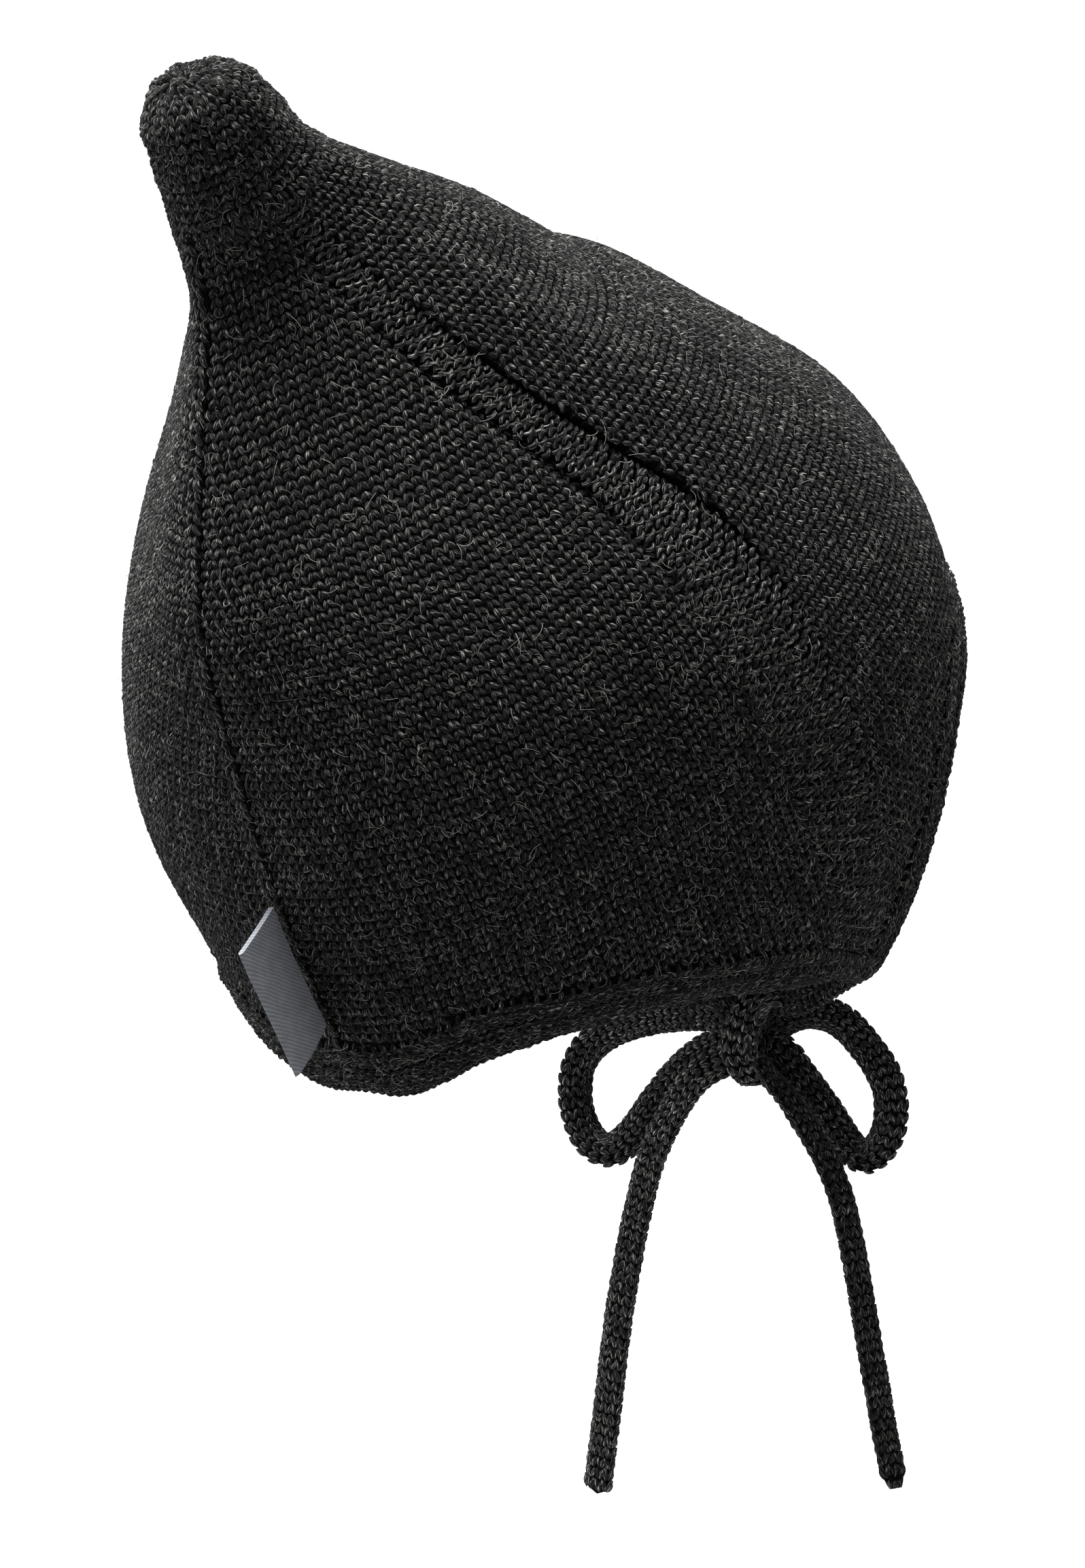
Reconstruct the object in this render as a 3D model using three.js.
// Child's knitted bonnet with a pointed tip and chin ties tied in a bow.
// Lengths are millimetres, angles degrees. +Z is up and the face looks along -Y.
// The origin is where the crown of a head meets the inside of the bonnet.

import * as THREE from "three";

// Overall form
const AXIS_LEAN = 33.5;        // the tip leans back from the vertical by this angle
const SEAT_RISE = 81;          // height of the crown above the foot of the leaning axis
const TIP_RISE = 152.5;        // foot of the axis to the tip, along the axis
const CHEEK_DROP = 76;         // foot of the axis to the lowest station, along the axis
const FRONT_REACH = 82;        // axis to the front of the widest station
const BACK_REACH = 86;         // axis to the back of the widest station
const HALF_WIDTH = 73.5;       // axis to the ear

// Fabric
const KNIT_WALL = 2.6;         // stocking stitch with its yarn relief
const GARTER_SWELL = 0.9;      // garter ridges stand this far out of the hem
const BAND_SINK = 0.9;         // the garter band lies this far under the panels
const BAND_TILT = 0.45;        // and rises by this much towards the side panel
const TOP_ROLL = 1.3;          // the top panel rolls over the band by this much
const TOP_FOLD = 1.6;          // folds across the crown and above the forehead
const EDGE_DIP = 0.5;          // panel edges turn in at a seam
const SEAM_RIDGE = 0.7;        // the back seam stands this far out
const SEAM_WIDTH = 3.4;        // back seam, measured across
const SEAM_GAP = 0.3;          // clear space between two sewn pieces
const CAP_JOIN = 125;          // the gathered tip starts here, along the axis

// Tag folded and sewn into the back seam
const TAG_OUT = 16.3;          // seam to fold
const TAG_LENGTH = 27;         // along the seam
const TAG_THICK = 1.1;         // two layers
const TAG_TOP = 9;             // upper end, along the leaning axis from its foot
const TAG_SWING = 23;          // degrees towards the wearer's right
const TAG_BOW = 1.2;           // the free fold curls by this much

// Ties
const CORD_WIDTH = 6.2;
const CORD_THICK = 3.2;
const CORD_SIDES = 10;
const KNOT_WIDTH = 9;
const KNOT_DEPTH = 9.4;
const KNOT_HEIGHT = 12.4;

// Facets
const PANEL_ROWS = 20;
const TOP_COLUMNS = 22;
const SIDE_COLUMNS = 14;
const BAND_COLUMNS = 3;
const SEAM_COLUMNS = 2;
const HEM_ROWS = 5;
const CAP_ROWS = 7;
const CAP_COLUMNS = 20;
const TAG_ROWS = 6;
const TAG_COLUMNS = 4;
const KNOT_COLUMNS = 14;
const KNOT_ROWS = 9;
const STRAP_STEPS = 6;
const LOOP_STEPS = 18;
const TAIL_STEPS = 13;

// Each station is a section square to the leaning axis. rise is a share of TIP_RISE above the
// foot and of CHEEK_DROP below it, front, back and side are shares of the three reaches, and
// tuck draws the back quarter in towards the seam.
const STATIONS = [
  { rise: -1.0, front: 0.7, back: 0.85, side: 0.54, tuck: 0.0 },
  { rise: -0.737, front: 0.85, back: 0.9, side: 0.775, tuck: 0.0 },
  { rise: -0.447, front: 0.95, back: 0.94, side: 0.945, tuck: 0.04 },
  { rise: -0.105, front: 0.985, back: 0.94, side: 1.0, tuck: 0.02 },
  { rise: 0.092, front: 0.95, back: 0.925, side: 0.97, tuck: -0.04 },
  { rise: 0.262, front: 0.815, back: 0.865, side: 0.88, tuck: 0.05 },
  { rise: 0.433, front: 0.62, back: 0.784, side: 0.725, tuck: 0.32 },
  { rise: 0.603, front: 0.41, back: 0.576, side: 0.488, tuck: 0.5 },
  { rise: 0.734, front: 0.205, back: 0.4, side: 0.284, tuck: 0.5 },
  { rise: 0.839, front: 0.06, back: 0.337, side: 0.19, tuck: 0.15 },
  { rise: 0.905, front: 0.024, back: 0.31, side: 0.168, tuck: 0.0 },
  { rise: 0.961, front: -0.018, back: 0.285, side: 0.15, tuck: 0.0 },
  { rise: 0.99, front: -0.085, back: 0.24, side: 0.1, tuck: 0.0 },
  { rise: 1.0, front: -0.16, back: 0.2, side: 0.03, tuck: 0.0 },
];

// The garter band: down is the share of the way from the tip to the hem, and front and back
// are the band's edges, as angles from the middle of the forehead round to the back seam.
const BAND_EDGES = [
  { down: 0.0, front: 94, back: 108 },
  { down: 0.1, front: 92.5, back: 106 },
  { down: 0.2, front: 89.5, back: 100.5 },
  { down: 0.28, front: 86, back: 96 },
  { down: 0.35, front: 83.5, back: 93 },
  { down: 0.46, front: 81.5, back: 95 },
  { down: 0.6, front: 83, back: 98 },
  { down: 0.72, front: 85, back: 99 },
  { down: 1.0, front: 86.5, back: 98 },
];

// Folds of the top panel: roll is a share of TOP_ROLL along its edge over the band, and fold a
// share of TOP_FOLD across its middle. down is as above.
const TOP_FOLDS = [
  { down: 0.0, roll: 0.0, fold: 0.0 },
  { down: 0.06, roll: 0.05, fold: 0.0 },
  { down: 0.2, roll: 1.0, fold: 0.0 },
  { down: 0.33, roll: 1.0, fold: 0.02 },
  { down: 0.39, roll: 1.0, fold: 0.5 },
  { down: 0.45, roll: 0.95, fold: 0.4 },
  { down: 0.54, roll: 0.4, fold: 0.03 },
  { down: 0.63, roll: 0.0, fold: 0.35 },
  { down: 0.72, roll: 0.0, fold: 1.0 },
  { down: 0.85, roll: 0.0, fold: 1.0 },
  { down: 1.0, roll: 0.0, fold: 0.0 },
];

// How far the folds reach in from a panel's edge, as shares of its half width
const DIP_REACH = 0.2;
const ROLL_REACH = 0.3;
const FOLD_START = 0.1;
const FOLD_FULL = 0.5;

// The band comes up flush with the panels between these shares of the way down
const BAND_SHALLOWS = 0.6;
const BAND_FLUSH = 0.9;

// The border: its upper line (at angle, rise) and its free rim (rimAngle, rimRise). Rises are
// shares of CHEEK_DROP. The row at 87 degrees is the corner under the cheek.
const BORDER = [
  { angle: 0, rise: -0.263, rimAngle: 0, rimRise: -0.401 },
  { angle: 20, rise: -0.257, rimAngle: 20.5, rimRise: -0.395 },
  { angle: 40, rise: -0.25, rimAngle: 41, rimRise: -0.388 },
  { angle: 52, rise: -0.257, rimAngle: 50, rimRise: -0.382 },
  { angle: 60, rise: -0.296, rimAngle: 54.5, rimRise: -0.395 },
  { angle: 68, rise: -0.382, rimAngle: 61, rimRise: -0.454 },
  { angle: 75, rise: -0.507, rimAngle: 67.5, rimRise: -0.559 },
  { angle: 80, rise: -0.632, rimAngle: 72.5, rimRise: -0.684 },
  { angle: 84, rise: -0.73, rimAngle: 75.5, rimRise: -0.809 },
  { angle: 87, rise: -0.776, rimAngle: 77.5, rimRise: -0.928 },
  { angle: 92, rise: -0.724, rimAngle: 85.5, rimRise: -0.888 },
  { angle: 98, rise: -0.632, rimAngle: 95, rimRise: -0.77 },
  { angle: 107, rise: -0.513, rimAngle: 105.5, rimRise: -0.664 },
  { angle: 121, rise: -0.382, rimAngle: 121, rimRise: -0.526 },
  { angle: 131, rise: -0.317, rimAngle: 131.5, rimRise: -0.45 },
  { angle: 141, rise: -0.279, rimAngle: 141.5, rimRise: -0.409 },
  { angle: 148, rise: -0.255, rimAngle: 148, rimRise: -0.405 },
  { angle: 155, rise: -0.254, rimAngle: 155.5, rimRise: -0.411 },
  { angle: 163, rise: -0.288, rimAngle: 163, rimRise: -0.445 },
  { angle: 171, rise: -0.314, rimAngle: 171, rimRise: -0.48 },
  { angle: 180, rise: -0.305, rimAngle: 180, rimRise: -0.465 },
];

// Share of GARTER_SWELL across the hem, from its upper line to its rim
const HEM_PROFILE = [
  { across: 0.0, swell: 0.0 },
  { across: 0.2, swell: 1.0 },
  { across: 0.4, swell: 0.35 },
  { across: 0.6, swell: 1.0 },
  { across: 0.8, swell: 0.7 },
  { across: 1.0, swell: -0.6 },
];

// Cord routes, chosen by hand
const KNOT_CENTRE = [0, -57, -153.4];
const STRAP_RIGHT = [
  [-42.6, -49, -136], [-37.5, -50, -138], [-31.5, -51, -140], [-25.4, -52, -142],
  [-19, -53, -143.8], [-12.8, -53.9, -145.2], [-8.6, -54.4, -146], [-5.2, -54.6, -146.6],
];
const LOOP_RIGHT = [
  [-5, -59.2, -149.6], [-8, -59.6, -148.2], [-12, -59.8, -147.1], [-17, -59.8, -147.2],
  [-22.2, -59.6, -148.8], [-26.9, -59.4, -152], [-30.9, -59.2, -155.5], [-33.6, -59, -159.1],
  [-34.5, -59, -163.1], [-33.9, -59, -167.5], [-31.5, -59, -171.3], [-27.6, -59.2, -173.3],
  [-23.8, -59.6, -172.2], [-20.4, -60, -169.6], [-16.9, -60.2, -166], [-13, -60.2, -162.1],
  [-9, -60, -157.9], [-5.4, -59.8, -154.8],
];
const TAIL_RIGHT = [
  [-5.4, -54.6, -157.9], [-9, -53.4, -160.4], [-13.9, -52.8, -163.6], [-18.4, -52.5, -167.4],
  [-22.5, -52.4, -171.9], [-25.7, -52.4, -176.4], [-28, -52.6, -181.4], [-29.6, -52.8, -187],
  [-31.1, -53.2, -194], [-32.5, -53.6, -201.5], [-34, -54, -209.4], [-35.5, -54.4, -217],
  [-37.1, -54.6, -224.5], [-39.4, -55, -234],
];
const STRAP_LEFT = [
  [42.6, -49, -136], [37.5, -50, -138], [31.5, -51, -140], [25.4, -52, -142],
  [19, -53, -143.8], [12.8, -53.9, -145.2], [8.6, -54.4, -146], [5.2, -54.6, -146.6],
];
const LOOP_LEFT = [
  [5.2, -59.2, -149.9], [9, -59.5, -149.5], [14.5, -59.7, -149.6], [21, -59.8, -150.2],
  [27.9, -59.8, -151.3], [34.6, -59.6, -153], [40.6, -59.4, -155.5], [45.2, -59.2, -158.9],
  [47.4, -59, -162.8], [47.8, -59, -166.8], [47.1, -59, -171], [45, -59, -174.6],
  [41.9, -59, -176.9], [38.4, -59.2, -177.2], [35, -59.6, -175.2], [31.4, -60, -171.5],
  [27.2, -60.2, -166.7], [22.3, -60.2, -161.9], [16.5, -60, -157.6], [10.2, -59.6, -154.9],
  [5.4, -59.4, -154.3],
];
const TAIL_LEFT = [
  [5.2, -55, -157.3], [8.4, -53.4, -159.2], [11.2, -52.7, -161.8], [14, -52.4, -165],
  [16.8, -52.4, -168.8], [19.4, -52.4, -172.8], [21.7, -52.4, -177], [23.5, -52.6, -181.5],
  [25.3, -52.8, -186.6], [27.3, -53, -193], [29.3, -53.2, -200.5], [31.1, -53.4, -208],
  [32.7, -53.6, -216], [34.1, -53.8, -224], [35.7, -54, -232], [37.7, -54.4, -242],
];

const FINISH = {
  wool: { color: 0x2c2c2d, roughness: 0.95, metalness: 0 },
  tag: { color: 0x8b8e90, roughness: 0.75, metalness: 0 },
};

const RADIAN = Math.PI / 180;
const bonnet = new THREE.Group();

// Smooth value of one column of a table at a key, by cubic pieces with matched slopes
function columnAt(rows, key, at, column) {
  const last = rows.length - 1;
  let i = 0;
  while (i < last - 1 && rows[i + 1][key] < at) i += 1;
  const slope = (k) => {
    const before = rows[Math.max(k - 1, 0)];
    const after = rows[Math.min(k + 1, last)];
    return (after[column] - before[column]) / (after[key] - before[key]);
  };
  const span = rows[i + 1][key] - rows[i][key];
  const t = THREE.MathUtils.clamp((at - rows[i][key]) / span, 0, 1);
  const rise = 3 * t * t - 2 * t * t * t;
  return rows[i][column] * (1 - rise) + rows[i + 1][column] * rise
    + slope(i) * span * t * (1 - t) * (1 - t) - slope(i + 1) * span * t * t * (1 - t);
}

// Point of the smooth outer form, at an angle from the forehead round to the back seam
// (positive on the wearer's right) and a rise along the leaning axis
function formPoint(angle, rise) {
  const share = rise >= 0 ? rise / TIP_RISE : rise / CHEEK_DROP;
  const at = (column) => columnAt(STATIONS, "rise", share, column);
  const front = at("front") * FRONT_REACH;
  const back = -at("back") * BACK_REACH;
  const turn = Math.cos(angle * RADIAN);
  const tuck = 1 - at("tuck") * ((1 - turn) / 2) ** 2;
  const out = (front + back) / 2 + ((front - back) / 2) * turn;
  const across = -at("side") * HALF_WIDTH * Math.sin(angle * RADIAN) * tuck;
  const lean = AXIS_LEAN * RADIAN;
  return new THREE.Vector3(
    across,
    rise * Math.sin(lean) - out * Math.cos(lean),
    rise * Math.cos(lean) + out * Math.sin(lean) - SEAT_RISE,
  );
}

// Step of the form for one degree and for one millimetre of rise, and the outward normal
function formFrame(angle, rise) {
  const step = 0.5;
  const round = formPoint(angle + step, rise).sub(formPoint(angle - step, rise)).divideScalar(2 * step);
  const up = formPoint(angle, rise + step).sub(formPoint(angle, rise - step)).divideScalar(2 * step);
  const normal = new THREE.Vector3().crossVectors(up, round).normalize();
  return { round: round.length(), up: up.length(), normal };
}

// The same point moved out of the form (or into it, when the distance is negative)
function skinPoint(angle, rise, distance) {
  return formPoint(angle, rise).addScaledVector(formFrame(angle, rise).normal, distance);
}

const smoothStep = (from, to, value) => THREE.MathUtils.smoothstep(value, from, to);
const borderAt = (angle, column) => columnAt(BORDER, "angle", Math.abs(angle), column);

// Rise of a share of the way down from the gathered tip to the border
function riseDown(angle, down) {
  const low = borderAt(angle, "rise") * CHEEK_DROP;
  const top = CAP_JOIN - SEAM_GAP;
  const end = low + SEAM_GAP / 2 / formFrame(angle, low).up;
  return top + (end - top) * down;
}

// Moves an edge angle back by half the gap, so that two sewn pieces stay apart
function insetAngle(angle, down, side) {
  return angle + (side * SEAM_GAP) / 2 / formFrame(angle, riseDown(angle, down)).round;
}

// Turns a list of triangles over shared points into a geometry that faces outwards
function solidFrom(points, triangles) {
  const volume = triangles.reduce((sum, [a, b, c]) => {
    const normal = new THREE.Vector3().crossVectors(points[b], points[c]);
    return sum + points[a].dot(normal);
  }, 0);
  const faces = volume < 0 ? triangles.map(([a, b, c]) => [a, c, b]) : triangles;
  const geometry = new THREE.BufferGeometry();
  geometry.setAttribute("position", new THREE.Float32BufferAttribute(
    points.flatMap((p) => [p.x, p.y, p.z]), 3));
  geometry.setIndex(faces.flat());
  geometry.computeVertexNormals();
  return geometry;
}

// Closed wall between an outer and an inner grid: place(u, v, side) gives a point, with u and v
// from 0 to 1 and side 0 on the outer skin and 1 on the inner one
function wall(columns, rows, place) {
  const points = [];
  const triangles = [];
  const index = (i, j, side) => (side * (rows + 1) + j) * (columns + 1) + i;
  for (const side of [0, 1]) {
    for (let j = 0; j <= rows; j += 1) {
      for (let i = 0; i <= columns; i += 1) points.push(place(i / columns, j / rows, side));
    }
  }
  const quad = (a, b, c, d) => triangles.push([a, b, c], [a, c, d]);
  for (let j = 0; j < rows; j += 1) {
    for (let i = 0; i < columns; i += 1) {
      quad(index(i, j, 0), index(i + 1, j, 0), index(i + 1, j + 1, 0), index(i, j + 1, 0));
      quad(index(i, j, 1), index(i, j + 1, 1), index(i + 1, j + 1, 1), index(i + 1, j, 1));
    }
    quad(index(0, j, 0), index(0, j + 1, 0), index(0, j + 1, 1), index(0, j, 1));
    quad(index(columns, j, 0), index(columns, j, 1), index(columns, j + 1, 1), index(columns, j + 1, 0));
  }
  for (let i = 0; i < columns; i += 1) {
    quad(index(i, 0, 0), index(i, 0, 1), index(i + 1, 0, 1), index(i + 1, 0, 0));
    quad(index(i, rows, 0), index(i + 1, rows, 0), index(i + 1, rows, 1), index(i, rows, 1));
  }
  return solidFrom(points, triangles);
}

function addPiece(name, geometry, finish) {
  const mesh = new THREE.Mesh(geometry, new THREE.MeshStandardMaterial(finish));
  mesh.name = name;
  bonnet.add(mesh);
}

// Right piece, and its mirror image on the wearer's left
function addPair(name, geometry, finish) {
  addPiece(`${name}_right`, geometry, finish);
  const mirrored = geometry.clone();
  const places = mirrored.getAttribute("position");
  for (let i = 0; i < places.count; i += 1) places.setX(i, -places.getX(i));
  mirrored.setIndex(new THREE.BufferAttribute(mirrored.getIndex().array.slice().reverse(), 1));
  mirrored.computeVertexNormals();
  addPiece(`${name}_left`, mirrored, finish);
}

const bandAt = (down, edge) => columnAt(BAND_EDGES, "down", down, edge);

// Angle that half the back seam takes up at a share of the way down
function seamHalfAngle(down) {
  const full = 180;
  return SEAM_WIDTH / 2 / formFrame(full, riseDown(full, down)).round;
}

// Share of a panel's half width from its nearer edge, for u from 0 to 1 across the panel
const fromEdge = (u) => 2 * Math.min(u, 1 - u);

// Dip of a panel's skin next to its edge
const edgeDip = (u) => -EDGE_DIP * (1 - smoothStep(0, DIP_REACH, fromEdge(u)));

// Top and front panel, from the tip over the crown to the forehead and the cheeks
function topPanel() {
  const place = (u, down, side) => {
    const edge = insetAngle(bandAt(down, "front"), down, -1);
    const angle = edge * (2 * u - 1);
    const rise = riseDown(angle, down);
    const rolled = columnAt(TOP_FOLDS, "down", down, "roll");
    const folded = columnAt(TOP_FOLDS, "down", down, "fold");
    const rollShare = Math.sin(Math.PI * Math.min(1, fromEdge(u) / ROLL_REACH));
    const foldShare = smoothStep(FOLD_START, FOLD_FULL, fromEdge(u));
    const outer = TOP_ROLL * rolled * rollShare + TOP_FOLD * folded * foldShare
      + edgeDip(u) * (1 - rolled);
    return skinPoint(angle, rise, side === 0 ? outer : -KNIT_WALL);
  };
  return wall(TOP_COLUMNS, PANEL_ROWS, place);
}

// Garter band between the top panel and the side panel, on the wearer's right
function sideBand() {
  const place = (u, down, side) => {
    const front = insetAngle(bandAt(down, "front"), down, 1);
    const back = insetAngle(bandAt(down, "back"), down, -1);
    const angle = front + (back - front) * u;
    const sunk = 1 - smoothStep(BAND_SHALLOWS, BAND_FLUSH, down);
    const outer = (BAND_TILT * u - BAND_SINK) * sunk;
    return skinPoint(angle, riseDown(angle, down), side === 0 ? outer : -KNIT_WALL);
  };
  return wall(BAND_COLUMNS, PANEL_ROWS, place);
}

// Large side panel from the band to the back seam, on the wearer's right
function sidePanel() {
  const place = (u, down, side) => {
    const front = insetAngle(bandAt(down, "back"), down, 1);
    const back = insetAngle(180 - seamHalfAngle(down), down, -1);
    const angle = front + (back - front) * u;
    return skinPoint(angle, riseDown(angle, down), side === 0 ? edgeDip(u) : -KNIT_WALL);
  };
  return wall(SIDE_COLUMNS, PANEL_ROWS, place);
}

// Ridge where the two side panels are sewn together, from the tip to the nape
function backSeam() {
  const place = (u, down, side) => {
    const half = seamHalfAngle(down) - (insetAngle(180, down, 1) - 180);
    const angle = 180 + half * (2 * u - 1);
    const ridge = SEAM_RIDGE * Math.sin(Math.PI * u);
    return skinPoint(angle, riseDown(180, down), side === 0 ? ridge : -KNIT_WALL);
  };
  return wall(SEAM_COLUMNS, PANEL_ROWS, place);
}

// Angles at which the pieces above end on the border, so that both edges share their corners
function borderAngles() {
  const spread = (from, to, count) => (
    Array.from({ length: count }, (_, i) => from + ((to - from) * i) / count)
  );
  const top = insetAngle(bandAt(1, "front"), 1, -1);
  const back = insetAngle(180 - seamHalfAngle(1), 1, -1);
  const face = [...spread(-top, top, TOP_COLUMNS), top];
  const hem = [
    ...spread(insetAngle(bandAt(1, "front"), 1, 1), insetAngle(bandAt(1, "back"), 1, -1), BAND_COLUMNS),
    insetAngle(bandAt(1, "back"), 1, -1),
    ...spread(insetAngle(bandAt(1, "back"), 1, 1), back, SIDE_COLUMNS),
    back,
    180,
  ];
  return { face, hem };
}

// Point of the border on the wearer's right (angle over 0) or left, at a share across it
function borderPoint(angle, across, side) {
  const low = borderAt(angle, "rise") * CHEEK_DROP;
  const start = low - SEAM_GAP / 2 / formFrame(angle, low).up;
  const rimAngle = Math.sign(angle) * borderAt(angle, "rimAngle");
  const rimRise = borderAt(angle, "rimRise") * CHEEK_DROP;
  const swell = columnAt(HEM_PROFILE, "across", across, "swell") * GARTER_SWELL;
  const out = side === 0 ? swell : -KNIT_WALL;
  return skinPoint(angle + (rimAngle - angle) * across, start + (rimRise - start) * across, out);
}

// Garter border round the face, from one cheek over the forehead to the other
function faceBorder() {
  const { face } = borderAngles();
  const last = face.length - 1;
  const place = (u, v, side) => borderPoint(face[Math.round(u * last)], v, side);
  return wall(last, HEM_ROWS, place);
}

// Garter border along the neck, from one cheek round the nape to the other
function hemBorder() {
  const { hem } = borderAngles();
  const round = [...hem, ...hem.slice(0, -1).reverse().map((angle) => -angle)];
  const last = round.length - 1;
  const place = (u, v, side) => {
    const angle = round[Math.round(u * last)];
    const point = borderPoint(Math.abs(angle), v, side);
    if (angle < 0) point.setX(-point.x);
    return point;
  };
  return wall(last, HEM_ROWS, place);
}

// Gathered tip: a thimble, open towards the head
function tipCap() {
  const points = [];
  const triangles = [];
  const ring = (j, side) => (side * CAP_ROWS + j) * CAP_COLUMNS;
  for (const side of [0, 1]) {
    for (let j = 0; j < CAP_ROWS; j += 1) {
      const rise = CAP_JOIN + (TIP_RISE - CAP_JOIN) * Math.sin((Math.PI / 2) * (j / CAP_ROWS));
      for (let i = 0; i < CAP_COLUMNS; i += 1) {
        const angle = (i / CAP_COLUMNS) * 360 - 180;
        points.push(skinPoint(angle, rise, side === 0 ? 0 : -KNIT_WALL));
      }
    }
  }
  const crest = formPoint(0, TIP_RISE).add(formPoint(180, TIP_RISE)).multiplyScalar(0.5);
  const axis = new THREE.Vector3(0, Math.sin(AXIS_LEAN * RADIAN), Math.cos(AXIS_LEAN * RADIAN));
  points.push(crest, crest.clone().addScaledVector(axis, -KNIT_WALL));
  const crests = [points.length - 2, points.length - 1];
  for (let i = 0; i < CAP_COLUMNS; i += 1) {
    const next = (i + 1) % CAP_COLUMNS;
    for (let j = 0; j < CAP_ROWS - 1; j += 1) {
      const [a, b] = [ring(j, 0), ring(j + 1, 0)];
      triangles.push([a + i, a + next, b + next], [a + i, b + next, b + i]);
      const [c, d] = [ring(j, 1), ring(j + 1, 1)];
      triangles.push([c + i, d + next, c + next], [c + i, d + i, d + next]);
    }
    const [outerTop, innerTop] = [ring(CAP_ROWS - 1, 0), ring(CAP_ROWS - 1, 1)];
    triangles.push([outerTop + i, outerTop + next, crests[0]]);
    triangles.push([innerTop + next, innerTop + i, crests[1]]);
    const [outerFoot, innerFoot] = [ring(0, 0), ring(0, 1)];
    triangles.push([outerFoot + next, outerFoot + i, innerFoot + i]);
    triangles.push([outerFoot + next, innerFoot + i, innerFoot + next]);
  }
  return solidFrom(points, triangles);
}

// Folded tag that stands out of the back seam, its free fold curled a little
function seamTag() {
  const place = (u, v, side) => {
    const rise = TAG_TOP - TAG_LENGTH * v;
    const frame = formFrame(180, rise);
    const swing = TAG_SWING * RADIAN;
    const outward = new THREE.Vector3(-Math.sin(swing), 0, 0);
    outward.addScaledVector(frame.normal, Math.cos(swing));
    const sideways = new THREE.Vector3(Math.cos(swing), 0, 0);
    sideways.addScaledVector(frame.normal, Math.sin(swing));
    const layer = side === 0 ? -TAG_THICK / 2 : TAG_THICK / 2;
    return formPoint(180, rise)
      .addScaledVector(outward, SEAM_RIDGE + SEAM_GAP + TAG_OUT * u)
      .addScaledVector(sideways, TAG_BOW * u * u + layer);
  };
  return wall(TAG_COLUMNS, TAG_ROWS, place);
}

// Flat knitted cord along a route
function cord(route, steps) {
  const points = route.map(([x, y, z]) => new THREE.Vector3(x, y, z));
  const extrudePath = new THREE.CatmullRomCurve3(points, false, "centripetal");
  const corners = Array.from({ length: CORD_SIDES }, (_, i) => {
    const turn = (2 * Math.PI * i) / CORD_SIDES;
    return new THREE.Vector2((CORD_WIDTH / 2) * Math.cos(turn), (CORD_THICK / 2) * Math.sin(turn));
  });
  const section = new THREE.Shape(corners);
  return new THREE.ExtrudeGeometry(section, { steps, extrudePath, bevelEnabled: false });
}

// The knot in the middle of the bow
function bowKnot() {
  const knot = new THREE.SphereGeometry(0.5, KNOT_COLUMNS, KNOT_ROWS);
  knot.scale(KNOT_WIDTH, KNOT_DEPTH, KNOT_HEIGHT);
  knot.translate(...KNOT_CENTRE);
  return knot;
}

addPiece("tip_cap", tipCap(), FINISH.wool);
addPiece("top_panel", topPanel(), FINISH.wool);
addPair("side_band", sideBand(), FINISH.wool);
addPair("side_panel", sidePanel(), FINISH.wool);
addPiece("back_seam", backSeam(), FINISH.wool);
addPiece("face_border", faceBorder(), FINISH.wool);
addPiece("hem_border", hemBorder(), FINISH.wool);
addPiece("seam_tag", seamTag(), FINISH.tag);
addPiece("tie_strap_right", cord(STRAP_RIGHT, STRAP_STEPS), FINISH.wool);
addPiece("tie_strap_left", cord(STRAP_LEFT, STRAP_STEPS), FINISH.wool);
addPiece("bow_knot", bowKnot(), FINISH.wool);
addPiece("bow_loop_right", cord(LOOP_RIGHT, LOOP_STEPS), FINISH.wool);
addPiece("bow_loop_left", cord(LOOP_LEFT, LOOP_STEPS), FINISH.wool);
addPiece("tie_tail_right", cord(TAIL_RIGHT, TAIL_STEPS), FINISH.wool);
addPiece("tie_tail_left", cord(TAIL_LEFT, TAIL_STEPS), FINISH.wool);

export default bonnet;
